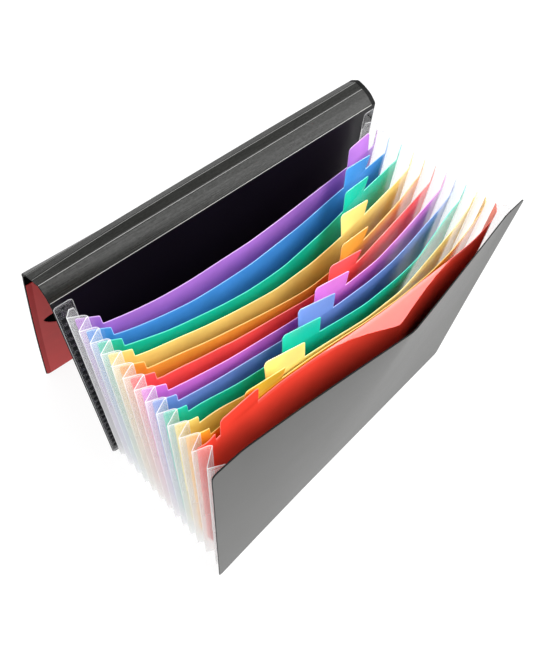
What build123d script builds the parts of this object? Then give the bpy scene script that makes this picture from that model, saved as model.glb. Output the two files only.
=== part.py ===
from build123d import *
import os
from math import cos, sin, radians, asin, degrees, sqrt, exp

os.makedirs("parts", exist_ok=True)

# ---------------------------------------------------------------- driving dimensions (mm)
COVER_W = 330.0          # width of every cover panel, along X
COVER_H = 240.0          # height of the front and rear covers, along Z
COVER_T = 1.0            # cover sheet thickness
CORNER_R = 4.0           # rounded free corners of the covers

PLEATS = 14              # steps from the rear cover to the front cover
DEPTH = 155.0            # rear cover to front cover, sheet middle to sheet middle, opened out
PITCH = DEPTH / PLEATS

DIVIDERS = 12
DIV_NAMES = ["purple", "blue", "green", "yellow", "orange", "red"] * 2
DIV_T = 0.5
DIV_HALF = 159.0         # half width, ends inside the outward folds of the side gussets
DIV_BOTTOM = 3.6
DIV_TOP = 222.0          # long straight top edge
EAR_TOP = 232.5          # raised ear at both ends
EAR_INNER = 145.5        # inner side of the ear
DIV_TAPER_Z = 52.0       # the lower side edges taper in from here
DIV_TAPER_HALF = 149.0
TAB_TOP = 240.0
TAB_W_TOP = 26.0
TAB_W_BASE = 32.0
TAB_FIRST_X = 118.5      # centre of the tab on the rearmost divider
TAB_STEP_X = 22.1        # each tab sits this much further left
TAB_R = 3.0

GUSSET_T = 0.35
FOLD_OUT = 161.5         # |X| of the outward folds
FOLD_IN = 149.6          # |X| of the inward folds
GUSSET_Z0 = 3.0
GUSSET_Z1 = 231.5
FLANGE_IN = 150.8        # inner edge of the flanges welded to the covers
FLANGE_T = 0.4
FLANGE_Z0 = 3.0
FLANGE_Z1 = 235.0
BOTTOM_HALF = 148.6      # half length of the pleated pocket bottom
BOTTOM_LOW = 2.0
BOTTOM_HIGH = 9.5

STRIP_W = 9.0            # one facet of the ribbed spine
STRIP_DIRS = [60.0, 28.0, -2.0, -30.0, -52.0]   # slope of each facet in the Y-Z plane, degrees
SCORE_GAP = 0.8          # thinned score line between two facets
FLAP_L = 252.0           # length of the flap below the spine
POCKET_START = 20.0      # the outer pocket sheet starts this far down the flap
POCKET_T = 0.5
POCKET_HALF = 164.4
MOUTH_S = 104.8          # pointed ends of the pocket mouth, distance down the flap
MOUTH_RISE = 4.5         # how far the upper edge arches above the ends
MOUTH_DEEP = 34.0        # how far the curved lower lip drops below the ends
MOUTH_HALF = 157.4

# ---------------------------------------------------------------- frame
# Points are laid out with the rear cover at y = 0, then moved so that the origin is under the middle of the box.
y, z = 0.0, COVER_H
fold_lines = [(y, z)]
for a in STRIP_DIRS:
    y += STRIP_W * cos(radians(a))
    z += STRIP_W * sin(radians(a))
    fold_lines.append((y, z))
FLAP_ANGLE = degrees(asin((z - 0.16) / FLAP_L))          # steepness of the flap that leans on the ground behind
flap_dir = (cos(radians(FLAP_ANGLE)), -sin(radians(FLAP_ANGLE)))
flap_end = (y + FLAP_L * flap_dir[0], z + FLAP_L * flap_dir[1])
y_back = flap_end[0] + 0.5 * COVER_T * sin(radians(FLAP_ANGLE))
y_front = -DEPTH - 0.5 * COVER_T
Y0 = -(y_back + y_front) / 2.0                            # shift applied to every piece


def save(shape, name):
    shape.label = name
    export_step(shape, f"parts/{name}.step")
    return shape


def sheet_in_xz(points, y_mid, thickness):
    """A flat sheet with an outline in X-Z, standing at y_mid."""
    outline = make_face(Polyline(*[(px, 0.0, pz) for px, pz in points], close=True))
    solid = extrude(outline, amount=thickness, dir=(0, 1, 0))
    return Pos(0, y_mid - thickness / 2.0 + Y0, 0) * solid


def arc_points(cx, cz, r, a0, a1, n=5):
    return [(cx + r * cos(radians(a0 + (a1 - a0) * k / n)), cz + r * sin(radians(a0 + (a1 - a0) * k / n))) for k in range(n + 1)]


def thick_line(points, t):
    """Closed outline of a folded strip of thickness t whose middle follows the points, mitred at the folds."""
    left, right = [], []
    n = len(points)
    for k, (a, b) in enumerate(points):
        dirs = []
        if k > 0:
            dx, dy = a - points[k - 1][0], b - points[k - 1][1]
            l = sqrt(dx * dx + dy * dy)
            dirs.append((dx / l, dy / l))
        if k < n - 1:
            dx, dy = points[k + 1][0] - a, points[k + 1][1] - b
            l = sqrt(dx * dx + dy * dy)
            dirs.append((dx / l, dy / l))
        if len(dirs) == 1:
            nx, ny = -dirs[0][1], dirs[0][0]
            left.append((a + nx * t / 2, b + ny * t / 2))
            right.append((a - nx * t / 2, b - ny * t / 2))
        else:
            n1 = (-dirs[0][1], dirs[0][0])
            n2 = (-dirs[1][1], dirs[1][0])
            mx, my = n1[0] + n2[0], n1[1] + n2[1]
            l2 = mx * mx + my * my
            k2 = t / l2                       # mitre length
            k2 = min(k2, 2.2 * t / 2 / sqrt(l2))
            left.append((a + mx * k2, b + my * k2))
            right.append((a - mx * k2, b - my * k2))
    return left + right[::-1]


# ---------------------------------------------------------------- covers
half = COVER_W / 2.0
rear_outline = (
    arc_points(-half + CORNER_R, CORNER_R, CORNER_R, 180, 270)
    + arc_points(half - CORNER_R, CORNER_R, CORNER_R, 270, 360)
    + [(half, COVER_H - SCORE_GAP / 2), (-half, COVER_H - SCORE_GAP / 2)]
)
rear_cover = save(sheet_in_xz(rear_outline, 0.0, COVER_T), "rear_cover")

r = CORNER_R
front_outline = (
    arc_points(-half + r, r, r, 180, 270)
    + arc_points(half - r, r, r, 270, 360)
    + arc_points(half - r, COVER_H - r, r, 0, 90)
    + arc_points(-half + r, COVER_H - r, r, 90, 180)
)
front_cover = save(sheet_in_xz(front_outline, -DEPTH, COVER_T), "front_cover")

# ---------------------------------------------------------------- ribbed spine and flap


def sheet_along(start, direction, s0, s1, x_half, t0, t1):
    """A flat sheet running from s0 to s1 along a direction in Y-Z, between offsets t0 and t1 on its outer side."""
    dy, dz = direction
    ny, nz = dz, -dy
    pts = []
    for s, t in ((s0, t0), (s1, t0), (s1, t1), (s0, t1)):
        pts.append((-x_half, start[0] + dy * s + ny * t + Y0, start[1] + dz * s + nz * t))
    return extrude(make_face(Polyline(*pts, close=True)), amount=2 * x_half, dir=(1, 0, 0))


for k, a in enumerate(STRIP_DIRS):
    d = (cos(radians(a)), sin(radians(a)))
    save(
        sheet_along(fold_lines[k], d, SCORE_GAP / 2, STRIP_W - SCORE_GAP / 2, half, -COVER_T / 2, COVER_T / 2),
        f"spine_strip_{k + 1}",
    )

hinge = fold_lines[-1]


def flap_point(x, s, t):
    """x across, s down the flap, t out of its outer side."""
    ny, nz = flap_dir[1], -flap_dir[0]
    return (x, hinge[0] + flap_dir[0] * s + ny * t + Y0, hinge[1] + flap_dir[1] * s + nz * t)


def flap_sheet(outline, t0, t1):
    face = make_face(Polyline(*[flap_point(x, s, t0) for x, s in outline], close=True))
    ny, nz = flap_dir[1], -flap_dir[0]
    return extrude(face, amount=t1 - t0, dir=(0, ny, nz))


flap_outline = (
    [(-half, SCORE_GAP / 2), (half, SCORE_GAP / 2)]
    + [(half - r + r * cos(radians(90 * k / 5)), FLAP_L - r + r * sin(radians(90 * k / 5))) for k in range(6)]
    + [(-half + r - r * sin(radians(90 * k / 5)), FLAP_L - r + r * cos(radians(90 * k / 5))) for k in range(6)]
)
flap_panel = save(flap_sheet(flap_outline, -COVER_T / 2, COVER_T / 2), "flap_panel")

ph, pe = POCKET_HALF, FLAP_L - 0.8
pocket_outline = (
    [(-ph, POCKET_START), (ph, POCKET_START)]
    + [(ph - r + r * cos(radians(90 * k / 5)), pe - r + r * sin(radians(90 * k / 5))) for k in range(6)]
    + [(-ph + r - r * sin(radians(90 * k / 5)), pe - r + r * cos(radians(90 * k / 5))) for k in range(6)]
)
pocket = flap_sheet(pocket_outline, COVER_T / 2, COVER_T / 2 + POCKET_T)
# mouth of the outer pocket: a nearly straight upper edge and a lower lip, both curving away from two pointed ends
inner = (1.0, 2.5, 4.5, 7.0, 10.0, 14.0, 19.0, 26.0, 36.0, 50.0, 75.0)
brow = [(-MOUTH_HALF + v, MOUTH_S - MOUTH_RISE * (1.0 - exp(-v / 3.0))) for v in inner]
lip = [(-MOUTH_HALF + v, MOUTH_S + MOUTH_DEEP * (1.0 - exp(-((v / 14.0) ** 0.85)))) for v in inner]
slit = (
    [(-MOUTH_HALF, MOUTH_S)] + lip + [(-vx, vs) for vx, vs in lip[::-1]]
    + [(MOUTH_HALF, MOUTH_S)] + [(-vx, vs) for vx, vs in brow] + brow[::-1]
)
pocket = pocket - flap_sheet(slit, 0.0, COVER_T / 2 + POCKET_T + 1.0)
save(pocket, "flap_outer_pocket")

# ---------------------------------------------------------------- dividers


def divider_outline(tab_x):
    e = EAR_INNER
    pts = [(-DIV_TAPER_HALF, DIV_BOTTOM), (DIV_TAPER_HALF, DIV_BOTTOM), (DIV_HALF, DIV_TAPER_Z)]
    pts += arc_points(DIV_HALF - 2.0, EAR_TOP - 2.0, 2.0, 0, 90, 4)
    pts += arc_points(e + 2.0, EAR_TOP - 2.0, 2.0, 90, 165, 3)
    pts += [(e - 1.0, DIV_TOP)]
    a, b = TAB_W_TOP / 2.0, TAB_W_BASE / 2.0
    pts += [(tab_x + b, DIV_TOP)]
    pts += arc_points(tab_x + a - 0.6, TAB_TOP - TAB_R, TAB_R, 15, 90, 4)
    pts += arc_points(tab_x - a + 0.6, TAB_TOP - TAB_R, TAB_R, 90, 165, 4)
    pts += [(tab_x - b, DIV_TOP)]
    pts += [(-e + 1.0, DIV_TOP)]
    pts += arc_points(-e - 2.0, EAR_TOP - 2.0, 2.0, 15, 90, 3)
    pts += arc_points(-DIV_HALF + 2.0, EAR_TOP - 2.0, 2.0, 90, 180, 4)
    pts += [(-DIV_HALF, DIV_TAPER_Z)]
    return pts


# Divider i stands in outward fold i of the gussets, counted from the rear; the pleat next to the front cover has none.
for i in range(DIVIDERS):
    tab_x = TAB_FIRST_X - TAB_STEP_X * i
    save(
        sheet_in_xz(divider_outline(tab_x), -PITCH * (i + 1), DIV_T),
        f"divider_{i + 1:02d}_{DIV_NAMES[i]}",
    )

# ---------------------------------------------------------------- pleated clear gussets
zig = [(-FLANGE_IN, -1.7)]
for k in range(1, PLEATS):
    zig.append((-FOLD_OUT, -PITCH * k))
    if k < PLEATS - 1:
        zig.append((-FOLD_IN, -PITCH * (k + 0.5)))
zig.append((-FLANGE_IN, -DEPTH + 1.7))
for side, name in ((1.0, "gusset_left"), (-1.0, "gusset_right")):
    outline = thick_line([(side * gx, gy) for gx, gy in zig], GUSSET_T)
    face = make_face(Polyline(*[(px, py + Y0, GUSSET_Z0) for px, py in outline], close=True))
    save(extrude(face, amount=GUSSET_Z1 - GUSSET_Z0, dir=(0, 0, 1)), name)

base = [(-1.2, 6.0)]
for k in range(1, PLEATS):
    base.append((-PITCH * k, BOTTOM_LOW))
    if k < PLEATS - 1:
        base.append((-PITCH * (k + 0.5), BOTTOM_HIGH))
base.append((-DEPTH + 1.2, 6.0))
outline = thick_line(base, GUSSET_T)
face = make_face(Polyline(*[(-BOTTOM_HALF, py + Y0, pz) for py, pz in outline], close=True))
save(extrude(face, amount=2 * BOTTOM_HALF, dir=(1, 0, 0)), "gusset_bottom")

# flanges of the gussets, welded flat to the insides of the two covers
for side, tag in ((-1.0, "left"), (1.0, "right")):
    x0, x1 = sorted((side * (half - 0.3), side * FLANGE_IN))
    for where, y_face, y_out in (
        ("rear", -COVER_T / 2, -COVER_T / 2 - FLANGE_T),
        ("front", -DEPTH + COVER_T / 2 + 0.02, -DEPTH + COVER_T / 2 + 0.02 + FLANGE_T),
    ):
        ya, yb = sorted((y_face, y_out))
        strip = Pos((x0 + x1) / 2, (ya + yb) / 2 + Y0, (FLANGE_Z0 + FLANGE_Z1) / 2) * Box(
            x1 - x0, yb - ya, FLANGE_Z1 - FLANGE_Z0
        )
        save(strip, f"{where}_weld_flange_{tag}")

print("Y0", round(Y0, 4), "pitch", round(PITCH, 4), "flap angle", round(FLAP_ANGLE, 3))
print("fold lines (y, z)", [(round(a + Y0, 4), round(b, 4)) for a, b in fold_lines])
print("flap end", round(flap_end[0] + Y0, 3), round(flap_end[1], 3), "box y", round(y_front + Y0, 3), round(y_back + Y0, 3))
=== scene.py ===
import math
import bpy
import numpy as np
from mathutils import Matrix, Vector


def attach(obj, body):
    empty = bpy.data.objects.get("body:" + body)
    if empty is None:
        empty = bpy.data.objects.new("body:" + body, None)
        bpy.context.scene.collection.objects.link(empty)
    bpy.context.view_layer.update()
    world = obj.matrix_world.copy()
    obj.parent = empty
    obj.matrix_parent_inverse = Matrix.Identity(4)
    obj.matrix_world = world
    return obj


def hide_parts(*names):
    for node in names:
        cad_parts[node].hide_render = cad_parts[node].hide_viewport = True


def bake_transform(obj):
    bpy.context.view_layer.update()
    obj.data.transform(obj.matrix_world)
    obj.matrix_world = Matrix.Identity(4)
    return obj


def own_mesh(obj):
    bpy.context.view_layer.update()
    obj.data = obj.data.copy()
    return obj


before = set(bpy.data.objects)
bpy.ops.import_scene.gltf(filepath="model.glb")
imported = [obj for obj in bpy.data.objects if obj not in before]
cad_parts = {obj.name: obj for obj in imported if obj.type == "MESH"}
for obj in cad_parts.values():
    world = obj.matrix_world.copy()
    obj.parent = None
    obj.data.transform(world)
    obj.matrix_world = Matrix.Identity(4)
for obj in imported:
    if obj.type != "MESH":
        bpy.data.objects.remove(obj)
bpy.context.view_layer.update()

# ------------------------------------------------------------------ dimensions in mm, rear cover at y = 0
Y0 = 21.6322                      # from that layout to the CAD frame
PLEATS = 14
DEPTH = 155.0
PITCH = DEPTH / PLEATS
HALF = 165.0
COVER_H = 240.0
DIV_BOTTOM, DIV_TOP, EAR_TOP, TAB_TOP = 3.6, 222.0, 232.5, 240.0


def srgb(r, g, b):
    out = []
    for v in (r, g, b):
        v /= 255.0
        out.append(v / 12.92 if v <= 0.04045 else ((v + 0.055) / 1.055) ** 2.4)
    return (out[0], out[1], out[2], 1.0)


# ------------------------------------------------------------------ mesh tools


def smooth_curve(xs, knots, sigma):
    """Values of a knotted line at xs, rounded off with a Gaussian of that width."""
    kx, ky = zip(*knots)
    fine = np.arange(min(kx) - 60.0, max(kx) + 60.0, 0.5)
    val = np.interp(fine, kx, ky)
    w = np.exp(-0.5 * (np.arange(-4 * sigma, 4 * sigma + 0.25, 0.5) / sigma) ** 2)
    w /= w.sum()
    pad = len(w) // 2
    val = np.convolve(np.pad(val, pad, mode="edge"), w, mode="same")[pad:-pad]
    return np.interp(xs, fine, val)


def finish_mesh(me, sharp=35.0):
    me.validate()
    me.update()
    me.polygons.foreach_set("use_smooth", [True] * len(me.polygons))
    me.set_sharp_from_angle(angle=math.radians(sharp))


def shell(name, P, thick, mats, uv=None, attrs=None, rim_mat=0, front_mat=0, back_mat=0, cell_mat=None, round_rim=0.45, sharp=35.0, flip=False):
    """A closed thin sheet. P is a grid (rows, columns, 3) of its middle surface in mm; equal points are joined, and cells without area are left out."""
    P = np.asarray(P, float)
    R, C = P.shape[:2]
    thick = np.broadcast_to(np.asarray(thick, float), (R, C))
    keys, index, pts, tks = {}, np.zeros((R, C), int), [], []
    uv = np.zeros((R, C, 2)) if uv is None else np.asarray(uv, float)
    attrs = attrs or {}
    uvs, ats = [], {k: [] for k in attrs}
    for i in range(R):
        for j in range(C):
            k = tuple(np.round(P[i, j], 4))
            if k not in keys:
                keys[k] = len(pts)
                pts.append(P[i, j])
                tks.append(thick[i, j])
                uvs.append(uv[i, j])
                for a in attrs:
                    ats[a].append(attrs[a][i][j])
            index[i, j] = keys[k]
    pts, tks, uvs = np.array(pts), np.array(tks), np.array(uvs)
    faces, fmat = [], []
    for i in range(R - 1):
        for j in range(C - 1):
            loop = [index[i, j], index[i, j + 1], index[i + 1, j + 1], index[i + 1, j]]
            clean = [v for n, v in enumerate(loop) if v != loop[n - 1]]
            if len(set(clean)) < 3:
                continue
            faces.append(clean[::-1] if flip else clean)
            fmat.append(None if cell_mat is None else int(cell_mat[i][j]))
    n = len(pts)
    normal = np.zeros((n, 3))
    for f in faces:
        q = pts[f]
        nn = np.zeros(3)
        for k in range(len(f)):
            nn += np.cross(q[k] - q[0], q[(k + 1) % len(f)] - q[0])
        for v in f:
            normal[v] += nn
    normal /= np.maximum(np.linalg.norm(normal, axis=1), 1e-12)[:, None]
    count = {}
    for f in faces:
        for a, b in zip(f, f[1:] + f[:1]):
            count[(a, b)] = count.get((a, b), 0) + 1
    border = [e for e in count if (e[1], e[0]) not in count]
    out = np.zeros((n, 3))
    for a, b in border:
        o = np.cross(pts[b] - pts[a], normal[a] + normal[b])
        o /= max(np.linalg.norm(o), 1e-12)
        out[a] += o
        out[b] += o
    length = np.linalg.norm(out, axis=1)
    out /= np.maximum(length, 1e-12)[:, None]
    rim = np.unique([v for e in border for v in e]) if border else []
    rim_of = {v: 2 * n + k for k, v in enumerate(rim)}
    verts = np.concatenate([pts + normal * tks[:, None] / 2, pts - normal * tks[:, None] / 2, pts[rim] + out[rim] * tks[rim][:, None] * round_rim])
    all_faces, all_mats = [], []
    for f, m in zip(faces, fmat):
        all_faces.append(list(f))
        all_mats.append(front_mat if m is None else m)
        all_faces.append([v + n for v in f[::-1]])
        all_mats.append(back_mat if m is None else m)
    for a, b in border:
        all_faces.append([b, a, rim_of[a], rim_of[b]])
        all_faces.append([rim_of[b], rim_of[a], a + n, b + n])
        all_mats += [rim_mat, rim_mat]
    source = np.concatenate([np.arange(n), np.arange(n), np.array(rim, int)])
    return build(name, verts, all_faces, all_mats, mats, uvs[source], {a: np.array(v)[source] for a, v in ats.items()}, sharp)


def build(name, verts, faces, face_mats, mats, uvs=None, attrs=None, sharp=35.0):
    me = bpy.data.meshes.new(name)
    co = np.asarray(verts, float).copy()
    co[:, 1] += Y0
    me.from_pydata((co * 0.001).tolist(), [], [list(map(int, f)) for f in faces])
    for m in mats:
        me.materials.append(m)
    me.polygons.foreach_set("material_index", list(face_mats))
    if uvs is not None:
        layer = me.uv_layers.new(name="flat")
        loops = np.zeros(len(me.loops), int)
        me.loops.foreach_get("vertex_index", loops)
        layer.data.foreach_set("uv", (np.asarray(uvs)[loops] * 0.001).astype(np.float32).ravel())
    for a, v in (attrs or {}).items():
        att = me.attributes.new(a, "FLOAT", "POINT")
        att.data.foreach_set("value", np.asarray(v, np.float32))
    finish_mesh(me, sharp)
    ob = bpy.data.objects.new(name, me)
    bpy.context.scene.collection.objects.link(ob)
    return ob


def join(name, parts, mats):
    """Several closed meshes as one object. parts are (verts, faces, material index, attrs)."""
    verts, faces, fm, attrs = [], [], [], {}
    base = 0
    for v, f, m in parts:
        verts.append(np.asarray(v, float))
        faces += [[i + base for i in g] for g in f]
        fm += [m] * len(f)
        base += len(v)
    return build(name, np.concatenate(verts), faces, fm, mats)


# ------------------------------------------------------------------ materials


class Nodes:
    def __init__(self, name):
        self.mat = bpy.data.materials.new(name)
        self.mat.use_nodes = True
        self.t = self.mat.node_tree
        self.t.nodes.clear()
        self.out = self.t.nodes.new("ShaderNodeOutputMaterial")

    def new(self, kind, **inputs):
        n = self.t.nodes.new(kind)
        for k, v in inputs.items():
            k = k.replace("_", " ")
            if isinstance(v, bpy.types.NodeSocket):
                self.t.links.new(v, n.inputs[k])
            else:
                n.inputs[k].default_value = v
        return n

    def link(self, a, b):
        self.t.links.new(a, b)

    def math(self, op, a, b=0.0, clamp=False):
        n = self.t.nodes.new("ShaderNodeMath")
        n.operation, n.use_clamp = op, clamp
        for k, v in enumerate((a, b)):
            if isinstance(v, bpy.types.NodeSocket):
                self.link(v, n.inputs[k])
            else:
                n.inputs[k].default_value = v
        return n.outputs[0]

    def mix(self, fac, a, b):
        n = self.t.nodes.new("ShaderNodeMix")
        n.data_type = "RGBA"
        for k, v in ((0, fac), (6, a), (7, b)):
            if isinstance(v, bpy.types.NodeSocket):
                self.link(v, n.inputs[k])
            else:
                n.inputs[k].default_value = v
        return n.outputs[2]

    def ramp(self, value, a0, a1, b0, b1):
        n = self.new("ShaderNodeMapRange")
        n.clamp = True
        self.link(value, n.inputs[0])
        for k, v in zip((1, 2, 3, 4), (a0, a1, b0, b1)):
            n.inputs[k].default_value = v
        return n.outputs[0]

    def coords(self, scale=(1, 1, 1)):
        c = self.t.nodes.new("ShaderNodeTexCoord")
        m = self.new("ShaderNodeMapping", Scale=scale)
        self.link(c.outputs["Object"], m.inputs["Vector"])
        return m.outputs[0]

    def noise(self, vec, scale, detail=2.0, rough=0.5):
        n = self.new("ShaderNodeTexNoise", Scale=scale, Detail=detail, Roughness=rough)
        self.link(vec, n.inputs["Vector"])
        return n.outputs["Fac"]

    def attr(self, name):
        n = self.t.nodes.new("ShaderNodeAttribute")
        n.attribute_name = name
        return n.outputs["Fac"]

    def bump(self, height, strength, distance):
        n = self.new("ShaderNodeBump", Strength=strength, Distance=distance)
        self.link(height, n.inputs["Height"])
        return n.outputs[0]

    def done(self, shader):
        self.link(shader, self.out.inputs["Surface"])
        return self.mat


def black_sheet(name, base, rough, grain=0.25, streak=0.0, spread=0.06, sheen=0.5):
    """Black polypropylene sheet with a fine moulded grain and, on the spine, drawn streaks along its length."""
    k = Nodes(name)
    fine = k.noise(k.coords(), 2600.0, 2.0, 0.6)
    cloud = k.noise(k.coords((1, 1, 1)), 22.0, 3.0, 0.55)
    height = fine
    colour = k.mix(k.ramp(cloud, 0.3, 0.7, 0.0, 1.0), tuple(0.88 * c for c in base[:3]) + (1,), tuple(1.10 * c for c in base[:3]) + (1,))
    r = k.math("ADD", k.math("MULTIPLY", k.math("SUBTRACT", cloud, 0.5), spread), rough)
    p = k.new("ShaderNodeBsdfPrincipled", IOR=1.5)
    if streak:
        lines = k.noise(k.coords((9, 2300, 2300)), 1.0, 3.0, 0.65)
        height = k.math("ADD", k.math("MULTIPLY", fine, 0.5), k.math("MULTIPLY", lines, streak))
        r = k.math("ADD", r, k.math("MULTIPLY", k.math("SUBTRACT", lines, 0.5), 0.14))
        colour = k.mix(k.ramp(lines, 0.45, 0.70, 0.0, 0.6), colour, tuple(1.7 * c for c in base[:3]) + (1,))
        speck = k.noise(k.coords((0.45, 1, 1)), 760.0, 3.0, 0.75)
        k.link(k.ramp(k.math("ADD", k.math("MULTIPLY", speck, 0.6), k.math("MULTIPLY", lines, 0.4)), 0.34, 0.68, 0.5 * sheen, 1.5 * sheen), p.inputs["Specular IOR Level"])
    else:
        p.inputs["Specular IOR Level"].default_value = sheen
    k.link(colour, p.inputs["Base Color"])
    k.link(r, p.inputs["Roughness"])
    k.link(k.bump(height, grain, 0.00012), p.inputs["Normal"])
    return k.done(p.outputs[0])


def tinted_sheet(name, colour, painted_edge_glow, rough=0.10, through=0.16, sheen=0.5):
    """Coloured translucent polypropylene sheet: light passes through it, a painted highlight lightens the colour along
    the top cut edge, and the face has a soft satin grain.
    """
    k = Nodes(name)
    cloud = k.noise(k.coords(), 34.0, 3.0, 0.55)
    fine = k.noise(k.coords(), 1900.0, 2.0, 0.6)
    edge = k.attr("edge")
    deep = tuple(0.92 * c for c in colour[:3]) + (1,)
    pale = tuple(min(1.0, 1.05 * c + 0.004) for c in colour[:3]) + (1,)
    body = k.mix(k.ramp(cloud, 0.3, 0.7, 0.0, 1.0), deep, pale)
    # painted highlight: the colour is mixed towards the pale edge colour in the last 0.8 mm below the top outline
    body = k.mix(k.math("MULTIPLY", edge, 0.7), body, painted_edge_glow)
    p = k.new("ShaderNodeBsdfPrincipled", IOR=1.49)
    p.inputs["Specular IOR Level"].default_value = sheen
    k.link(body, p.inputs["Base Color"])
    k.link(k.math("ADD", k.math("MULTIPLY", cloud, 0.06), rough - 0.03), p.inputs["Roughness"])
    k.link(k.bump(fine, 0.04, 0.0001), p.inputs["Normal"])
    tr = k.new("ShaderNodeBsdfTranslucent")
    k.link(body, tr.inputs["Color"])
    m = k.new("ShaderNodeMixShader", Fac=through)
    k.link(p.outputs[0], m.inputs[1])
    k.link(tr.outputs[0], m.inputs[2])
    return k.done(m.outputs[0])


def film(name, clear, white=(0.96, 0.965, 0.97, 1), crease=0.75, spread=0.04, shine=0.03, glance=0.7, painted_low_whitening=0.0):
    """Frosted clear film: part of the light goes straight through, part is scattered; it is glossier at a glance, and folds and cut edges are stress-whitened."""
    k = Nodes(name)
    cloud = k.noise(k.coords((1, 1, 0.25)), 60.0, 3.0, 0.55)
    fine = k.noise(k.coords(), 2400.0, 2.0, 0.6)
    mark = k.attr("crease")
    frost = k.math("ADD", k.math("MULTIPLY", k.math("SUBTRACT", cloud, 0.5), spread), 1.0 - clear)
    # painted light: extra frost towards the film's foot turns it whiter near the floor, standing in for the bright
    # floor light
    if painted_low_whitening:
        split = k.new("ShaderNodeSeparateXYZ")
        k.link(k.coords(), split.inputs[0])
        frost = k.math("ADD", frost, k.ramp(split.outputs["Z"], 0.0, 0.215, painted_low_whitening, 0.0))
    frost = k.math("ADD", k.math("MULTIPLY", k.math("SUBTRACT", 1.0, mark), frost), k.math("MULTIPLY", mark, crease), True)
    normal = k.bump(fine, 0.02, 0.0001)
    d = k.new("ShaderNodeBsdfDiffuse", Color=white)
    tr = k.new("ShaderNodeBsdfTranslucent", Color=white)
    body = k.new("ShaderNodeMixShader", Fac=0.62)
    k.link(d.outputs[0], body.inputs[1])
    k.link(tr.outputs[0], body.inputs[2])
    clearer = k.new("ShaderNodeBsdfTransparent", Color=(0.992, 0.993, 0.994, 1))
    m = k.new("ShaderNodeMixShader")
    k.link(frost, m.inputs[0])
    k.link(clearer.outputs[0], m.inputs[1])
    k.link(body.outputs[0], m.inputs[2])
    gloss = k.new("ShaderNodeBsdfGlossy", Color=(1, 1, 1, 1))
    k.link(k.math("ADD", k.math("MULTIPLY", cloud, 0.10), 0.12), gloss.inputs["Roughness"])
    k.link(normal, gloss.inputs["Normal"])
    face = k.new("ShaderNodeLayerWeight", Blend=0.5)
    gleam = k.math("ADD", k.math("MULTIPLY", k.math("POWER", face.outputs["Facing"], 5.0), glance), shine, True)
    g = k.new("ShaderNodeMixShader")
    k.link(gleam, g.inputs[0])
    k.link(m.outputs[0], g.inputs[1])
    k.link(gloss.outputs[0], g.inputs[2])
    return k.done(g.outputs[0])


def dark_weld(name):
    """Dull dark pads where the film is melted onto the cover."""
    k = Nodes(name)
    fine = k.noise(k.coords(), 900.0, 2.0, 0.6)
    p = k.new("ShaderNodeBsdfPrincipled", IOR=1.49)
    p.inputs["Specular IOR Level"].default_value = 0.1
    k.link(k.mix(k.ramp(fine, 0.3, 0.7, 0, 1), (0.002, 0.002, 0.003, 1), (0.006, 0.006, 0.008, 1)), p.inputs["Base Color"])
    k.link(k.ramp(fine, 0.2, 0.8, 0.55, 0.7), p.inputs["Roughness"])
    return k.done(p.outputs[0])


M_COVER = black_sheet("cover_black_satin", (0.020, 0.020, 0.0180, 1), 0.40)
M_INNER = black_sheet("cover_black_inside", (0.0022, 0.0019, 0.0032, 1), 0.30, grain=0.05, sheen=0.12)
M_FRONT_IN = black_sheet("front_cover_inside", (0.0028, 0.0024, 0.0040, 1), 0.16, grain=0.03, sheen=0.5)
M_POCKET_IN = black_sheet("flap_inside_pocket", (0.0020, 0.0018, 0.0020, 1), 0.7, grain=0.1, sheen=0.0)
M_EDGE = black_sheet("cover_black_cut_edge", (0.003, 0.003, 0.003, 1), 0.5, sheen=0.14)
M_SPINE = black_sheet("spine_black_grained", (0.0065, 0.0067, 0.0058, 1), 0.30, grain=0.75, streak=1.0, sheen=0.16)
# painted highlight: the score lines get a pale base colour standing in for light caught along the creases
M_SCORE = black_sheet("spine_score_painted_highlight", (0.150, 0.150, 0.146, 1), 0.35, grain=0.3, sheen=0.4)
# painted shade: a darker, duller black for the last 6 mm of the spine's right end, where it falls into shade
M_SPINE_END = black_sheet("spine_end_painted_shade", (0.003, 0.003, 0.003, 1), 0.45, grain=0.4, sheen=0.04)
# painted highlight: a paler line still along the first fold, over the rear cover
M_SCORE_0 = black_sheet("spine_first_score_painted_highlight", (0.30, 0.30, 0.285, 1), 0.35, grain=0.3, sheen=0.5)
M_FILM = film("gusset_film", 0.85, white=(0.975, 0.978, 0.98, 1), crease=0.6, painted_low_whitening=0.30)
M_FLANGE = film("weld_flange_film", 0.966, crease=0.5, spread=0.008, shine=0.014, glance=0.25)
M_WELD = dark_weld("weld_dots")
M_RED = tinted_sheet("flap_pocket_red", srgb(180, 40, 38), srgb(188, 54, 50), rough=0.45, through=0.06, sheen=0.08)
M_RED_EDGE = tinted_sheet("flap_pocket_border", srgb(158, 26, 27), srgb(164, 34, 34), rough=0.5, through=0.04, sheen=0.06)

COLOURS = {  # body, painted highlight colour along the top cut edge
    1: ((190, 124, 212), (224, 190, 240)),
    2: ((78, 154, 232), (150, 200, 246)),
    3: ((8, 200, 178), (110, 230, 212)),
    4: ((248, 228, 134), (255, 244, 184)),
    5: ((236, 176, 68), (252, 212, 140)),
    6: ((252, 92, 84), (255, 156, 148)),
    7: ((238, 132, 226), (246, 190, 242)),
    8: ((128, 156, 232), (180, 200, 246)),
    9: ((6, 204, 184), (110, 230, 212)),
    10: ((253, 236, 136), (255, 246, 188)),
    11: ((255, 202, 62), (255, 228, 150)),
    12: ((255, 72, 54), (255, 140, 130)),
}
M_DIV = {i: tinted_sheet(f"divider_sheet_{i:02d}", srgb(*a), srgb(*b)) for i, (a, b) in COLOURS.items() if i < 12}
M_DIV[12] = tinted_sheet("divider_sheet_12", srgb(*COLOURS[12][0]), srgb(*COLOURS[12][1]), rough=0.45, sheen=0.0)
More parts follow.
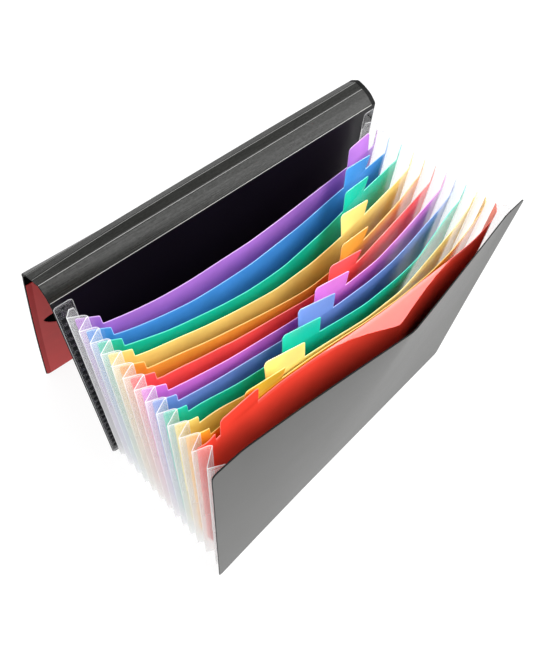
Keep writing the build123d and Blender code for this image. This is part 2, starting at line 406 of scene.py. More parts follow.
# painted light: the ear colour is paled towards grey-white, standing in for the veil of light the film scatters over it
# and the light washing in from the right
M_EAR = {i: tinted_sheet(f"divider_ear_painted_veil_{i:02d}", srgb(*[0.45 * c + 0.55 * w for c, w in zip(a, (222, 216, 210))]), srgb(*b), rough=0.30, through=0.3, sheen=0.2) for i, (a, b) in COLOURS.items()}
M_FACET = tinted_sheet("divider_sheet_12_polished", srgb(*COLOURS[12][0]), srgb(*COLOURS[12][1]), rough=0.08, sheen=0.42)

# ------------------------------------------------------------------ dividers
NAMES = ["purple", "blue", "green", "yellow", "orange", "red"] * 2
BOW = {  # where the top edge runs along the width, measured from the plane of the next fold: negative is towards the front
    1: [(-144.5, 1.0), (-126, -3.3), (-103, -7.0), (-77, -8.9), (-48, -9.2), (-20, -9.8), (14, -8.0), (65, -4.4), (99, -2.3), (130, 0.2), (144.5, 2.4)],
    2: [(-145, 0.2), (-134, -3.7), (-113, -8.8), (-90, -13.1), (-63, -14.8), (-36, -15.6), (20, -12.5), (70, -7.0), (119, -2.2), (144.5, -0.4)],
    3: [(-144.5, -0.6), (-115, -10.5), (-94, -14.8), (-75, -18.5), (-53, -21.5), (-20, -22.5), (30, -17.5), (93, -8.3), (136.6, -3.0), (144.5, -2.2)],
    4: [(-144.5, -0.4), (-135, -3.4), (-115, -8.0), (-100, -12.1), (-77, -16.8), (-58, -19.8), (-39, -22.6), (0, -22.8), (30, -20.5), (70, -15.9), (127, -8.2), (144.5, -5.0)],
    5: [(-144, -2.0), (-118, -8.0), (-108, -11.0), (-86, -15.6), (-62, -20.4), (-36, -24.9), (-18, -27.0), (10, -26.5), (45, -23.0), (104, -14.4), (130, -8.6), (144.5, -6.0)],
    6: [(-143, -1.6), (-125, -4.7), (-115, -7.6), (-100, -9.9), (-93, -12.2), (-68, -15.8), (-42, -19.5), (-32, -21.3), (0, -23.5), (28, -22.8), (90, -14.3), (135, -7.8), (144.5, -6.3)],
    7: [(-144.5, -0.9), (-128, -4.5), (-108, -8.5), (-100, -9.9), (-76, -13.0), (-47, -16.8), (0, -20.5), (38, -20.8), (72, -16.8), (124, -9.4), (144.5, -6.4)],
    8: [(-144.5, 0.4), (-130, -2.2), (-115, -5.1), (-107, -6.0), (-83, -9.3), (-67, -11.7), (-20, -17.0), (20, -19.0), (48, -18.5), (70, -16.0), (126.6, -8.4), (144.5, -5.0)],
    9: [(-144.5, 1.9), (-132, 0.6), (-117, -3.3), (-104, -5.5), (-90, -7.3), (-56, -10.6), (-22, -16.3), (0, -19.4), (38, -20.0), (64, -18.6), (121, -6.8), (144.5, -3.6)],
    10: [(-144, 2.6), (-131, 2.2), (-112, -2.6), (-85, -7.4), (-66, -8.5), (-52, -10.3), (-31, -13.4), (-11, -16.6), (29, -18.4), (48, -16.2), (114, -8.0), (146, -2.0)],
    11: [(-144, 3.6), (-135, 3.6), (-112, 2.4), (-85, 1.4), (-57, -1.2), (-12, -7.4), (23, -10.6), (59, -11.6), (90, -10.0), (114, -6.9), (147, -1.4)],
    12: [(-147, 9.9), (-130, 11.2), (-109, 11.5), (-87, 10.9), (-57, 7.8), (-23, 3.7), (5, 0.9), (30, -0.4), (63, -2.1), (86, -3.6), (109, -4.4), (125, -3.7), (145, -2.0)],
}
# outward and inward folds of the two gussets as they stand open, from rear to front
FOLD_L = [-8.0, -21.5, -33.8, -45.2, -56.8, -68.0, -79.2, -90.2, -100.7, -111.0, -121.3, -132.7, -146.0]
FOLD_R = [-9.5, -24.5, -38.5, -52.5, -65.5, -77.0, -88.5, -98.8, -109.0, -120.0, -128.0, -137.5, -150.0]
IN_L = [-16.8, -29.0, -41.0, -52.8, -64.8, -75.8, -86.5, -97.0, -107.3, -117.8, -128.0, -138.5]
IN_R = [-17.5, -31.0, -44.5, -58.0, -70.2, -81.5, -93.0, -102.8, -112.8, -124.0, -132.8, -143.2]
FOLD_OUT, FOLD_IN, FL_IN = 161.5, 150.6, 150.8


def divider_edge(i, xs):
    """Top edge of a divider: its ends lie on the pleat that they are welded to, the rest bows forward."""
    ref = -PITCH * (i + 1)

    def pleat(side, x):
        f, n = (FOLD_L, IN_L) if side < 0 else (FOLD_R, IN_R)
        return f[i - 1] + (n[i - 1] - f[i - 1]) * (FOLD_OUT - abs(x)) / (FOLD_OUT - FOLD_IN) + 0.95

    knots = [(x, ref + d) for x, d in BOW[i]]
    if i == 12:
        left = [(-159.0, -132.4), (-151.0, -134.6)]
    else:
        left = [(-159.0, pleat(-1, -159.0)), (-155.0, pleat(-1, -155.0)), (-150.6, pleat(-1, -150.6) - 0.1)]
    right = [(150.6, pleat(1, 150.6) - 0.1), (155.0, pleat(1, 155.0)), (159.0, pleat(1, 159.0))]
    knots = left + knots + right
    wide, tight = smooth_curve(xs, knots, 6.0), smooth_curve(xs, knots, 1.3)
    w = np.clip((np.abs(xs) - 132.0) / 10.0, 0, 1)
    w = w * w * (3 - 2 * w)
    return wide * (1 - w) + tight * w


TAB_LEAN = {1: (-0.1, 3.2), 2: (-4.4, -5.3), 3: (-11.4, -10.4), 4: (-15.1, -16.8), 5: (-24.3, -24.5), 6: (-21.2, -25.0), 7: (-16.6, -21.0), 8: (-10.3, -16.3),
            9: (-6.5, -11.9), 10: (-1.6, -7.3), 11: (2.9, -0.8), 12: (10.8, 11.3)}


def arc(cx, cz, r, a0, a1, n):
    return [(cx + r * math.cos(math.radians(a0 + (a1 - a0) * k / n)), cz + r * math.sin(math.radians(a0 + (a1 - a0) * k / n))) for k in range(n + 1)]


def divider_top(tab_x):
    """Upper outline of a divider, left to right: ear, tab, ear."""
    ear = arc(-155.6, 226.8, 1.8, 180, 98, 5) + arc(-145.5, 229.9, 0.7, 98, 8, 4) + [(-144.4, DIV_TOP + 0.5), (-143.9, DIV_TOP)]
    pts = ear + [(tab_x - 16.0, DIV_TOP)] + arc(tab_x - 12.4, TAB_TOP - 3.0, 3.0, 165, 90, 5) + arc(tab_x + 12.4, TAB_TOP - 3.0, 3.0, 90, 15, 5) + [(tab_x + 16.0, DIV_TOP)]
    return pts + [(-x, z) for x, z in ear[::-1]]


# the front divider is creased: its upper edge leans back over a three-cornered facet (drop below the top edge, forward offset)
CREASE_X = [-57.0, -43.3, -30.0, -16.9, 0.1, 6.4, 26.0, 46.3, 62.2, 82.0]
CREASE_DOWN = [0.0, 0.35, 1.0, 2.05, 3.9, 4.55, 3.1, 1.7, 0.8, 0.0]
CREASE_OUT = [0.0, 1.0, 3.0, 6.3, 12.0, 14.0, 9.5, 5.2, 2.5, 0.0]


for i in range(1, 13):
    tab_x = 118.5 - 22.1 * (i - 1)
    top = divider_top(tab_x)
    tx, tz = np.array([p[0] for p in top]), np.array([p[1] for p in top])
    cols = np.unique(np.round(np.concatenate([tx, np.arange(-152.0, 153.0, 4.0), [-149.0, 149.0, tab_x - 8, tab_x, tab_x + 8], np.arange(-60.0, 86.0, 2.0) if i == 12 else []]), 3))
    keep = np.ones(len(cols), bool)
    for n in range(1, len(cols)):
        if cols[n] - cols[n - 1] < 0.04:
            keep[n] = False
    cols = cols[keep]
    high = np.interp(cols, tx, tz)
    low = DIV_BOTTOM + np.clip((np.abs(cols) - 149.0) / 10.0, 0, 1) * 48.4
    body_t = np.concatenate([np.linspace(0, 0.86, 20), [0.90, 0.94, 0.97, 0.985, 0.995, 1.0]])
    over_t = [0.12, 0.3, 0.5, 0.7, 0.86, 0.95, 1.0]
    y_top = divider_edge(i, cols)
    ends = np.interp(cols, [-147.5, 147.5], divider_edge(i, np.array([-147.5, 147.5])))
    hold = np.clip((np.abs(cols) - 138.0) / 11.0, 0, 1)
    hold = hold * hold * (3 - 2 * hold)
    y_low = ends * (1 - hold) + y_top * hold
    lean_a, lean_b = TAB_LEAN[i]
    rows, uv, edge = [], [], []
    if i == 12:
        down, fore = smooth_curve(cols, list(zip(CREASE_X, CREASE_DOWN)), 0.9), smooth_curve(cols, list(zip(CREASE_X, CREASE_OUT)), 0.9)
        fold_z, fold_y = DIV_TOP - np.maximum(down, 0.3), y_top - fore
        body_t = np.concatenate([np.linspace(0, 0.9, 20), [0.94, 0.97, 0.985], np.linspace(0.99, 1.0, 9)])
    for t in list(body_t) + [1.0 + o for o in over_t]:
        if t > 1.0:
            z = DIV_TOP + (high - DIV_TOP) * (t - 1.0)
        else:
            z = low + (DIV_TOP - low) * t
        share = np.clip((z - DIV_BOTTOM) / (DIV_TOP - DIV_BOTTOM), 0, 1) ** 1.1
        y = y_low + (y_top - y_low) * share
        if i == 12 and t <= 1.0:
            if t <= 0.985:
                z = low + (fold_z - low) * (t / 0.985)
                share = np.clip((z - DIV_BOTTOM) / (fold_z - DIV_BOTTOM), 0, 1) ** 1.1
                y = y_low + (fold_y - y_low) * share
                y = y - 5.0 * np.clip((152.0 - np.abs(cols)) / 40.0, 0, 1) * np.sin(np.pi * np.clip((fold_z - z) / 80.0, 0, 1))
            else:
                part = (t - 0.985) / 0.015
                z, y = fold_z + (DIV_TOP - fold_z) * part, fold_y + (y_top - fold_y) * part
        above = np.clip((z - DIV_TOP) / (TAB_TOP - DIV_TOP), 0, 1)
        inside_tab = np.abs(cols - tab_x) <= 17.0
        lean = -PITCH * (i + 1) + np.interp(cols, [tab_x - 13, tab_x + 13], [lean_a, lean_b])
        y = y + np.where(inside_tab, above * (lean - y_top), 0.0)
        rows.append(np.stack([cols, y, z], -1))
        uv.append(np.stack([cols, z], -1))
        # mask of the last 0.8 mm below the upper outline, where the material paints a highlight
        gap = np.minimum(high - z, 99)
        edge.append(np.clip(1.0 - gap / 0.8, 0, 1))
    mid = (cols[:-1] + cols[1:]) / 2
    rows_t = list(body_t) + [1.0 + o for o in over_t]
    # cell 2: the right ears and the right end of divider 12 take the paled ear material, a painted veil of light; cell
    # 1: the glossy facet of divider 12
    cell = [[2 if 148.9 < x < 156.4 or (i == 12 and x > 140.0) else 1 if i == 12 and 0.9849 < t < 0.9999 and -57.0 < x < 82.0 else 0 for x in mid] for t in rows_t[:-1]]
    ob = shell(f"divider_{i:02d}_sheet", rows, 0.5, [M_DIV[i], M_FACET, M_EAR[i]], uv=uv, attrs={"edge": edge}, cell_mat=cell, flip=False)
    body = f"divider_{i:02d}"
    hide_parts(f"divider_{i:02d}_{NAMES[i - 1]}")
    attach(ob, body)
    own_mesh(ob)

# ------------------------------------------------------------------ covers


# how far each fold line of the opened spine strays from its hinge, as cubics along the width (y, z)
STRAY = [((1.47, -2.99, 10.67, -5.87), (-0.23, 5.97, -5.69, 3.37)), ((-3.38, 13.83, -16.33, 9.71), (0.82, 4.44, -2.5, 0.5)),
         ((-2.57, 12.95, -13.4, 7.33), (-1.52, -3.5, 10.93, -5.55)), ((-2.9, 13.98, -14.74, 7.75), (-3.74, 17.22, -21.08, 10.62)),
         ((-2.14, 9.2, -3.0, 0.35), (-2.13, 7.78, 0.43, -2.48)), ((-0.07, 1.67, -5.38, 3.68), (0.11, -2.96, 9.61, -5.16))]


def stray(k, x):
    """Offset (x, y, z) of fold line k at x: the opened spine is a little twisted, lower at its left end."""
    w = (np.asarray(x, float) + HALF) / (2 * HALF)
    y, z = (sum(c * w ** n for n, c in enumerate(cs)) for cs in STRAY[k])
    return np.stack([3.0 * np.clip(w, 0, 1) ** 2.6, y, z], -1)


def rear_face(x, z):
    """A point of the rear cover's middle surface: its upper edge follows the first fold line."""
    x, z = np.broadcast_arrays(np.asarray(x, float), np.asarray(z, float))
    share = np.clip(z / COVER_H, 0, 1.0) ** 1.4
    return np.stack([x, np.zeros_like(x), z], -1) + stray(0, x) * share[..., None]


def rounded(u, lo, hi, r, w_lo, w_hi):
    """Lower and upper limit of a panel with rounded corners, at each u."""
    d = np.maximum(0.0, np.abs(u) - (HALF - r))
    drop = r - np.sqrt(np.maximum(0.0, r * r - np.minimum(d, r) ** 2))
    return lo + drop * w_lo, hi - drop * w_hi


def panel_cols(step):
    c = np.arange(-156.0, 156.1, step)
    ends = [161.0, 162.0, 163.0, 163.8, 164.4, 164.8, 165.0]
    return np.concatenate([-np.array(ends[::-1]), c, ends])


SEAM = 236.0          # the rear cover's sheet runs on into the spine above this height
cols = panel_cols(6.0)
low, high = rounded(cols, 0.45, SEAM, 4.0, 1.0, 0.0)
rows, uv = [], []
for t in np.linspace(0, 1, 25):
    z = low + (high - low) * t
    rows.append(rear_face(cols, z))
    uv.append(np.stack([cols, z], -1))
rear = shell("rear_cover_sheet", rows, 1.0, [M_INNER, M_COVER, M_EDGE], uv=uv, rim_mat=2, front_mat=0, back_mat=1)
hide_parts("rear_cover")
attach(rear, "rear_cover")



def toe(x, z):
    """How far the front cover stands back of its plane below the top edge."""
    share = np.clip(1.0 - np.asarray(z, float) / COVER_H, 0, 1)
    return np.interp(x, [-165, -120, -60, 165], [0.4, 1.4, 2.3, 3.2]) * share * (1.6 - 0.6 * share)


FRONT_BOW = [(-165, -0.3), (-142, -0.3), (-101, 4.4), (-63, 9.6), (-7, 17.6), (32, 13.4), (88, 7.0), (138, 1.0), (165, 0.6)]
cols = panel_cols(4.0)
low, high = rounded(cols, 0.45, COVER_H, 4.0, 1.0, 1.0)
bow, soft_bow = smooth_curve(cols, FRONT_BOW, 3.0), smooth_curve(cols, FRONT_BOW, 26.0)
rows, uv = [], []
for t in np.concatenate([np.linspace(0, 0.96, 25), [0.98, 0.99, 1.0]]):
    z = low + (high - low) * t
    crest = np.clip(z / COVER_H, 0, 1) ** 5
    rows.append(np.stack([cols, -DEPTH + toe(cols, z) - (bow * crest + soft_bow * (1 - crest)) * np.clip(z / COVER_H, 0, 1), z], -1))
    uv.append(np.stack([cols, z], -1))
front = shell("front_cover_sheet", rows, 1.0, [M_COVER, M_FRONT_IN, M_EDGE], uv=uv, rim_mat=2, front_mat=0, back_mat=1)
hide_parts("front_cover")
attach(front, "front_cover")
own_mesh(front)

# ------------------------------------------------------------------ spine and flap
FOLDS = [(0.0, 240.0)]
for a in (60.0, 28.0, -2.0, -30.0, -52.0):
    FOLDS.append((FOLDS[-1][0] + 9.0 * math.cos(math.radians(a)), FOLDS[-1][1] + 9.0 * math.sin(math.radians(a))))
FLAP_END = (111.7598, 0.16)
END_SHIFT = (6.0, -4.0)


def fold_at(k, x):
    """Fold line k at x, where it lies on the opened folder."""
    x = np.asarray(x, float)
    return np.stack([x, np.full_like(x, FOLDS[k][0]), np.full_like(x, FOLDS[k][1])], -1) + stray(k, x)


def flap_bottom(x):
    w = (x + HALF) / (2 * HALF)
    return np.stack([x, FLAP_END[0] + END_SHIFT[0] * (1 - w) + END_SHIFT[1] * w, np.full_like(x, FLAP_END[1] + 0.5)], -1)


xs = np.concatenate([[-165.0, -164.6], np.arange(-160.0, 151.0, 10.0), [156.5, 160.0, 163.6, 164.6, 165.0]])
lines = [rear_face(xs, SEAM)] + [fold_at(k, xs) for k in range(6)]
lines[2] = lines[2] + 0.7 * ((lines[1] + lines[3]) / 2 - lines[2])
flap_low = flap_bottom(xs)


def along(a, b, dist):
    d = b - a
    return a + d * (dist / np.linalg.norm(d, axis=-1))[:, None]


def border(k):
    """Line on strip k (1 to 5) where two fold pieces meet: the middle of the strip between its two hinges, kept clear of the folds."""
    d = np.array(FOLDS[k]) - np.array(FOLDS[k - 1])
    d = d / np.linalg.norm(d)
    a, b = lines[k], lines[k + 1]
    at_a = (a[:, 1:] - np.array(FOLDS[k - 1])) @ d
    at_b = (b[:, 1:] - np.array(FOLDS[k - 1])) @ d
    t = np.clip((4.5 - at_a) / (at_b - at_a), 0.14, 0.86)
    return a + (b - a) * t[:, None]


for k in range(6):
    here = lines[k + 1]
    before = lines[0] if k == 0 else border(k)
    after = border(k + 1) if k < 5 else along(here, flap_low, 4.5)
    rows, thick, uv, mat = [], [], [], []
    back_len, fore_len = np.linalg.norm(here - before, axis=-1), np.linalg.norm(after - here, axis=-1)
    stops = [("b", 1.0), ("b", 0.7), ("b", 0.4), ("b", 0.75), ("b", 0.42), ("b", 0.2), ("h", 0), ("f", 0.2), ("f", 0.42), ("f", 0.75), ("f", 0.4), ("f", 0.7), ("f", 1.0)]
    for n, (where, s) in enumerate(stops):
        length = back_len if where == "b" else fore_len
        end = before if where == "b" else after
        dist = s * np.ones_like(length) if 3 <= n <= 9 else 0.75 + (length - 0.75) * {1.0: 1.0, 0.7: 0.6, 0.4: 0.25}[s]
        base = here + (end - here) * (dist / length)[:, None]
        if k == 1:
            w = (0.5 - 0.5 * dist / length if where == "b" else 0.5 + 0.5 * dist / length)[:, None]
            base = (1 - w) ** 2 * before + 2 * w * (1 - w) * here + w ** 2 * after
        rows.append(base)
        thick.append(np.where(dist < 0.3, 0.45, np.where(dist < 0.6, 0.62, 1.0)) if k != 1 else np.ones_like(dist))
        uv.append(np.stack([xs, k * 9.0 + (-dist if where == "b" else dist)], -1))
    # rows 5 and 6 at each fold take the pale score material, a painted highlight
    score = {0: 3, 1: 0, 2: 1, 3: 1, 4: 1, 5: 1}[k]
    # cells beyond x = 159 take the painted-shade end material
    cell = [[(4 if (k == 0 and n < 5) else 5 if x > 159.0 else score if n in (5, 6) else 0) for x in xs[:-1]] for n in range(len(stops) - 1)]
    ob = shell(f"spine_fold_{k + 1}_sheet", rows, np.array(thick), [M_SPINE, M_SCORE, M_EDGE, M_SCORE_0, M_INNER, M_SPINE_END], uv=uv, rim_mat=2, cell_mat=cell, sharp=40.0 if k == 1 else 6.0)
    if k < 5:
        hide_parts(f"spine_strip_{k + 1}")
    f0 = FOLDS[k]
    p = (0.0, SEAM) if k == 0 else FOLDS[k - 1]
    q = FOLDS[k + 1] if k < 5 else FLAP_END
    u0, u1 = np.array([f0[0] - p[0], f0[1] - p[1]]), np.array([q[0] - f0[0], q[1] - f0[1]])
    u0, u1 = u0 / np.linalg.norm(u0), u1 / np.linalg.norm(u1)
    s = (0, (f0[0] - 0.9 * u0[0] + Y0) * 0.001, (f0[1] - 0.9 * u0[1]) * 0.001)
    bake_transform(ob)

# flap panel: from just below the last fold to the ground behind
near_mouth = np.array([157.4, 157.0, 155.2, 154.2, 153.0, 151.5, 148.0, 146.0])
cols = np.unique(np.concatenate([panel_cols(6.0), near_mouth, -near_mouth]))
hinge, foot = fold_at(5, cols), flap_bottom(cols)
start = along(hinge, foot, 4.5)
run = np.linalg.norm(foot - start, axis=-1)
drop = np.maximum(0.0, np.abs(cols) - (HALF - 4.0))
corner = 4.0 - np.sqrt(np.maximum(0.0, 16.0 - np.minimum(drop, 4.0) ** 2))
out_n = np.array([0.0, -0.952, -0.3055])        # out of the flap's outer side


def flap_grid(s_list):
    """Points of the flap at distances s below its fold, one list of distances for each row."""
    rows, uv = [], []
    for s in s_list:
        s = np.broadcast_to(s, cols.shape)
        frac = (s - 4.5) / run
        p = start + (foot - start) * frac[:, None]
        belly = 2.2 * np.sin(np.pi * np.clip(frac, 0, 1))
        p = p + out_n * (-belly)[:, None]
        rows.append(p)
        uv.append(np.stack([cols, s], -1))
    return rows, uv


limit = 4.5 + run - corner
rows, uv = flap_grid([4.5 + (limit - 4.5) * t for t in np.linspace(0, 1, 25)])
panel = shell("flap_panel_sheet", rows, 1.0, [M_INNER, M_POCKET_IN, M_EDGE], uv=uv, rim_mat=2, front_mat=0, back_mat=1)
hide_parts("flap_panel")
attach(panel, "flap")

# outer pocket: a red sheet welded round its border, with a wide mouth
P_START, MOUTH, MOUTH_HALF = 19.5, 104.8, 157.4
inner = np.clip(MOUTH_HALF - np.abs(cols), 0, None)
lip = MOUTH + 34.0 * (1.0 - np.exp(-(inner / 14.0) ** 0.85))
brow = MOUTH - 4.5 * (1.0 - np.exp(-inner / 3.0))
upper = [P_START + (brow - P_START) * t for t in np.linspace(0, 1, 9)]
pocket_limit = limit - 0.8
lower = [lip + (pocket_limit - lip) * t for t in np.concatenate([[0, 0.01, 0.03], np.linspace(0.08, 1, 14)])]


def lifted(rows, lift):
    return [r + out_n * l[:, None] for r, l in zip(rows, lift)]


squeeze = (HALF - 0.6) / HALF
g1, uv1 = flap_grid(upper)
g2, uv2 = flap_grid(lower)
puff = np.clip(inner / 60.0, 0, 1) ** 0.7
lift1 = [0.85 + 0.4 * puff * max(0.0, (t - 0.45) / 0.55) ** 1.5 for t in np.linspace(0, 1, 9)]
lift1 = [np.broadcast_to(v, cols.shape) for v in lift1]
lift2 = [0.85 + 0.5 * puff * (1.0 - t) ** 3 for t in np.concatenate([[0, 0.01, 0.03], np.linspace(0.08, 1, 14)])]
grid = lifted(g1, lift1)
for name, grid, uvg in (("flap_pocket_upper_sheet", lifted(g1, lift1), uv1), ("flap_pocket_sheet", lifted(g2, lift2), uv2)):
    grid = np.array(grid)
    grid[:, :, 0] *= squeeze
    uvg = np.array(uvg)
    mid_x = np.abs((cols[:-1] + cols[1:]) / 2)
    cell = [[1 if mid_x[j] > 160.5 else 0 for j in range(len(cols) - 1)] for _ in range(len(grid) - 1)]
    ob = shell(name, grid, 0.5, [M_RED, M_RED_EDGE, M_EDGE], uv=uvg, rim_mat=1, cell_mat=cell, attrs={"edge": np.zeros(grid.shape[:2])})
    if name == "flap_pocket_sheet":
        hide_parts("flap_outer_pocket")
    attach(ob, "flap")

# ------------------------------------------------------------------ clear pleated gussets
G_LOW = 3.0


def gusset_path(side):
    """Corner points of the folded film, from the rear flange to the front flange: (x, y, top, kind)."""
    f, n = (FOLD_L, IN_L) if side > 0 else (FOLD_R, IN_R)
    pts = [(-FL_IN, -0.95, 236.5, "weld")]
    for k in range(13):
        pts.append((-FOLD_OUT, f[k], 230.0 if k else 231.0, "out"))
        if k < 12:
            pts.append((-FOLD_IN, n[k], 234.0, "in"))
    pts.append((-FL_IN, -DEPTH + 1.0, 235.0, "weld"))
    return pts


def gusset_columns(side):
    """Columns of the film: folds are small rounds, with marks at the fold and beside it."""
    pts = gusset_path(side)
    cols = []
    for n, (x, y, top, kind) in enumerate(pts):
        here = np.array([x, y])
        prev = np.array(pts[n - 1][:2]) if n else None
        nxt = np.array(pts[n + 1][:2]) if n < len(pts) - 1 else None

        def toward(other, dist):
            d = other - here
            return here + d * dist / np.linalg.norm(d)

        def top_at(other_n, dist):
            l = np.linalg.norm(np.array(pts[other_n][:2]) - here)
            return top + (pts[other_n][2] - top) * dist / l

        steps = ((5.0, 0.0), (3.6, 0.0), (2.2, 0.0), (1.5, 0.0), (1.1, 0.0), (0.6, 0.35), (0.28, 1.0))
        if prev is not None:
            for dist, mark in steps:
                cols.append((toward(prev, dist), top_at(n - 1, dist), mark, kind, dist))
        mid = here
        if prev is not None and nxt is not None:
            a, b = toward(prev, 0.28), toward(nxt, 0.28)
            mid = here * 0.4 + (a + b) * 0.3
        cols.append((mid, top, 1.0, kind, 0.0))
        if nxt is not None:
            for dist, mark in steps[::-1]:
                cols.append((toward(nxt, dist), top_at(n + 1, dist), mark, kind, dist))
    return cols


def gusset(side, name):
    cols = gusset_columns(side)
    z_share = np.concatenate([[0.0, 0.004], np.linspace(0.03, 0.97, 24)])
    rows, uv, crease = [], [], []
    tops = []
    for c, top, mark, kind, dist in cols:
        cut = 0.0
        if kind == "in":
            cut = 2.6 * max(0.0, 1.0 - dist / 3.2) ** 2          # rounded top corner at the inner folds
        elif kind == "weld":
            cut = 3.0 * max(0.0, 1.0 - dist / 3.0)
        tops.append(top - cut)
    tops = np.array(tops)
    xy = np.array([c[0] for c in cols])
    first = np.linalg.norm(np.array(gusset_path(side)[1][:2]) - np.array(gusset_path(side)[0][:2]))
    for n, q in enumerate(xy):
        away = np.linalg.norm(q - xy[0]) / first                  # 0 at the weld, 1 at the first fold
        if away < 1.001 and n < 16:
            tops[n] = np.interp(away, [0.0, 0.10, 0.13, 0.62, 1.0], [219.5, 221.0, 227.0, 233.6, 231.0])
    marks = np.array([c[2] for c in cols])
    run = np.concatenate([[0], np.cumsum(np.linalg.norm(np.diff(xy, axis=0), axis=1))])
    near = np.clip(1.0 - run / 9.0, 0, 1)
    last = np.clip(1.0 - (run[-1] - run) / 14.0, 0, 1)

    def place(z):
        """The film's rear end goes with the rear cover's face, the rest stands on its own folds."""
        p = np.stack([xy[:, 0] * side, xy[:, 1], z], -1)
        shift = rear_face(xy[:, 0] * side, z) - np.stack([xy[:, 0] * side, np.zeros_like(z), z], -1)
        p[:, 1] += toe(p[:, 0], z) * last
        return p + shift * near[:, None]

    for t in z_share:
        z = G_LOW + (tops - 2.0 - G_LOW) * t
        rows.append(place(z))
        uv.append(np.stack([run, z], -1))
        crease.append(np.maximum(marks * 0.9, 0.0))
    for off, mark in ((1.7, 0.0), (0.8, 0.2), (0.45, 1.0), (0.0, 1.0)):
        z = tops - off
        rows.append(place(z))
        uv.append(np.stack([run, z], -1))
        crease.append(np.maximum(marks * 0.9, mark))
    return shell(name, rows, 0.3, [M_FILM], uv=uv, attrs={"crease": crease}, sharp=60.0, flip=side > 0)


for side, tag in ((1, "left"), (-1, "right")):
    ob = gusset(side, f"gusset_{tag}_film")
    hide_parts(f"gusset_{tag}")
    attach(ob, "rear_cover")
    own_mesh(ob)

# pleated bottom of the pockets
pts = [(-1.2, 6.0)]
for k in range(1, PLEATS):
    pts.append((-PITCH * k, 2.0))
    if k < PLEATS - 1:
        pts.append((-PITCH * (k + 0.5), 9.5))
pts.append((-DEPTH + 1.2, 6.0))
line, marks = [], []
for n, (y, z) in enumerate(pts):
    here = np.array([y, z])
    for m in (n - 1, n, n + 1):
        if m < 0 or m >= len(pts):
            continue
        if m == n:
            line.append(here)
            marks.append(1.0)
        else:
            d = np.array(pts[m]) - here
            for dist, mark in (((1.4, 0.0), (0.5, 1.0)) if m < n else ((0.5, 1.0), (1.4, 0.0))):
                line.append(here + d * dist / np.linalg.norm(d))
                marks.append(mark)
line, marks = np.array(line), np.array(marks)
xs = np.concatenate([[-148.6, -147.8], np.arange(-140.0, 141.0, 20.0), [147.8, 148.6]])
fore = np.clip((-line[:, 0] - DEPTH + 14.0) / 12.0, 0, 1)
rows = [np.stack([np.full(len(line), x), line[:, 0] + toe(x, line[:, 1]) * fore, line[:, 1]], -1) for x in xs]
uv = [np.stack([np.full(len(line), x), np.arange(len(line))], -1) for x in xs]
ob = shell("gusset_bottom_film", rows, 0.35, [M_FILM], uv=uv, attrs={"crease": [marks * 0.8 for _ in xs]}, sharp=60.0)
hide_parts("gusset_bottom")
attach(ob, "rear_cover")
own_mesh(ob)


def flange(name, side, where):
    """Flat clear strip welded to a cover, with a rounded upper inner corner."""
    u = np.concatenate([[164.7, 164.35, 164.0, 163.4], np.linspace(162.0, 154.0, 8), [153.2, 152.4, 151.8, 151.2, 150.8]])
    drop = np.maximum(0.0, 153.8 - u)
    top = 235.0 - (3.0 - np.sqrt(np.maximum(0.0, 9.0 - np.minimum(drop, 3.0) ** 2)))
    top = top - np.maximum(0.0, u - 163.4) * 1.2
    rows, uv, crease = [], [], []
    side_mark = np.where((u > 164.5) | (u < 151.0), 1.0, 0.0)
    for off in ("t0", 0.02, 0.15, 0.3, 0.45, 0.6, 0.75, 0.9, 0.985, "t1", "t2"):
        if off == "t0":
            z, mark = np.full(len(u), 3.0), 1.0
        elif off == "t1":
            z, mark = top - 0.5, 0.2
        elif off == "t2":
            z, mark = top, 1.0
        else:
            z, mark = 3.0 + (top - 3.0) * off, 0.0
        if where == "rear":
            rows.append(rear_face(-side * u, z) + np.array([0.0, -0.74, 0.0]))
        else:
            crest = np.clip(z / COVER_H, 0, 1) ** 5
            y = -DEPTH + 0.5 + 0.26 + toe(-side * u, z) - (smooth_curve(-side * u, FRONT_BOW, 3.0) * crest + smooth_curve(-side * u, FRONT_BOW, 26.0) * (1 - crest)) * np.clip(z / COVER_H, 0, 1)
            rows.append(np.stack([-side * u, y, z], -1))
        uv.append(np.stack([u, z], -1))
        crease.append(np.maximum(side_mark, mark))
    return shell(name, rows, 0.4, [M_FLANGE], uv=uv, attrs={"crease": crease}, sharp=60.0, flip=side < 0)


def weld_marks(name, side):
    """Row of small weld pads down the rear flange, with two more at its top."""
    parts = []
    spots = [(158.3, 231.0, 2.3, 2.0), (162.0, 227.0, 2.3, 2.0)]
    z = 218.4
    while z > 6.0:
        spots.append((161.2, z, 3.4, 4.6))
        z -= 8.5
    for cx, cz, w, h in spots:
        ring = []
        for k in range(12):
            a = 2 * math.pi * (k + 0.5) / 12
            ring.append((cx + w / 2 * math.copysign(abs(math.cos(a)) ** 0.55, math.cos(a)), cz + h / 2 * math.copysign(abs(math.sin(a)) ** 0.55, math.sin(a))))
        v, f = [], []
        for y, grow in ((-0.80, 1.0), (-1.06, 1.0), (-1.14, 0.82)):
            for px, pz in ring:
                v.append(tuple(rear_face(-side * (cx + (px - cx) * grow), cz + (pz - cz) * grow) + np.array([0.0, y, 0.0])))
        for lev in range(2):
            for k in range(12):
                q = [lev * 12 + k, lev * 12 + (k + 1) % 12, (lev + 1) * 12 + (k + 1) % 12, (lev + 1) * 12 + k]
                f.append(q if side > 0 else q[::-1])
        f.append(list(range(24, 36)) if side > 0 else list(range(24, 36))[::-1])
        f.append(list(range(12))[::-1] if side > 0 else list(range(12)))
        parts.append((v, f, 0))
    return join(name, parts, [M_WELD])


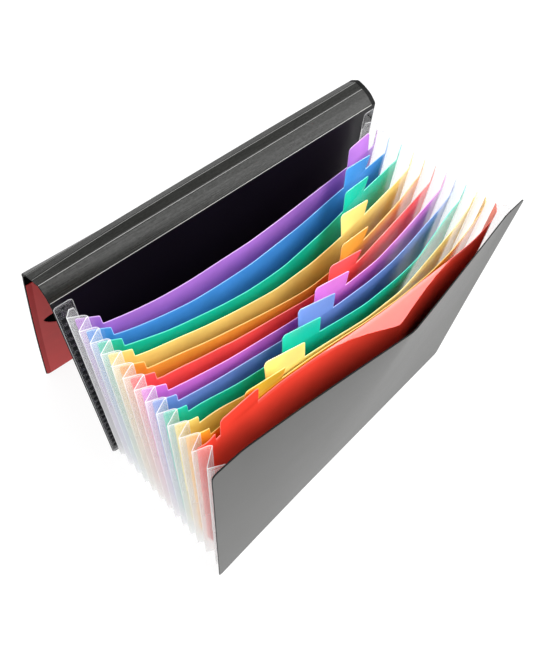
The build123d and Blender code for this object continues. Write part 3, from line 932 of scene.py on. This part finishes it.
for side, tag in ((1, "left"), (-1, "right")):
    for where, body in (("rear", "rear_cover"), ("front", "front_cover")):
        ob = flange(f"{where}_weld_flange_{tag}_film", side, where)
        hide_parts(f"{where}_weld_flange_{tag}")
        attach(ob, body)
        if where == "front":
            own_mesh(ob)
    ob = weld_marks(f"rear_weld_dots_{tag}", side)
    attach(ob, "rear_cover")

# ------------------------------------------------------------------ floor, light and camera
k = Nodes("floor_white")
cloud = k.noise(k.coords(), 3.0, 2.0, 0.5)
d = k.new("ShaderNodeBsdfDiffuse")
k.link(k.mix(cloud, (0.115, 0.115, 0.115, 1), (0.125, 0.125, 0.125, 1)), d.inputs["Color"])
em = k.new("ShaderNodeEmission", Strength=0.90)
add = k.new("ShaderNodeAddShader")
k.link(d.outputs[0], add.inputs[0])
k.link(em.outputs[0], add.inputs[1])
M_FLOOR = k.done(add.outputs[0])
me = bpy.data.meshes.new("floor")
s = 6.0
me.from_pydata([(-s, -s, 0), (s, -s, 0), (s, s, 0), (-s, s, 0)], [], [(0, 1, 2, 3)])
me.materials.append(M_FLOOR)
floor = bpy.data.objects.new("floor", me)
bpy.context.scene.collection.objects.link(floor)

scene = bpy.context.scene
world = bpy.data.worlds.new("studio")
world.use_nodes = True
bg = world.node_tree.nodes.get("Background") or world.node_tree.nodes.new("ShaderNodeBackground")
bg.inputs["Color"].default_value = (1.0, 1.0, 1.0, 1)
bg.inputs["Strength"].default_value = 1.05
scene.world = world


def far_light(name, travel, energy, angle):
    li = bpy.data.lights.new(name, "SUN")
    li.energy, li.angle = energy, math.radians(angle)
    ob = bpy.data.objects.new(name, li)
    ob.rotation_euler = Vector(travel).to_track_quat("-Z", "Y").to_euler()
    scene.collection.objects.link(ob)


far_light("softbox_upper_right", (-0.43, 0.42, -0.80), 3.9, 46.0)
far_light("side_right", (-0.95, 0.12, -0.28), 1.1, 40.0)
far_light("low_right_front", (-0.68, 0.62, -0.34), 1.2, 28.0)
far_light("left_fill", (0.75, 0.45, -0.48), 0.5, 60.0)

cam = bpy.data.cameras.new("camera")
cam.sensor_fit, cam.sensor_width = "AUTO", 36.0
cam.lens = 36.0 * 568.4948 / 658.0
cam.shift_x, cam.shift_y = -0.013874, -0.041637
cam.clip_start, cam.clip_end = 0.01, 50.0
cam_ob = bpy.data.objects.new("camera", cam)
rt, up, fw = (0.70081331, -0.70974953, 0.07152845), (0.5379929, 0.59172301, 0.60035616), (0.46842753, 0.38225579, -0.79652756)
m = Matrix.Identity(4)
for row in range(3):
    m[row][0], m[row][1], m[row][2] = rt[row], up[row], -fw[row]
m[0][3], m[1][3], m[2][3] = -0.2297306, (-241.8808 + Y0) * 0.001, 0.5403677
cam_ob.matrix_world = m
scene.collection.objects.link(cam_ob)
scene.camera = cam_ob

scene.view_settings.view_transform = "Standard"
scene.view_settings.look = "None"
scene.view_settings.exposure = 0.0
scene.cycles.transparent_max_bounces = 48
scene.cycles.max_bounces = 16
scene.cycles.diffuse_bounces = 6
scene.cycles.transmission_bounces = 12
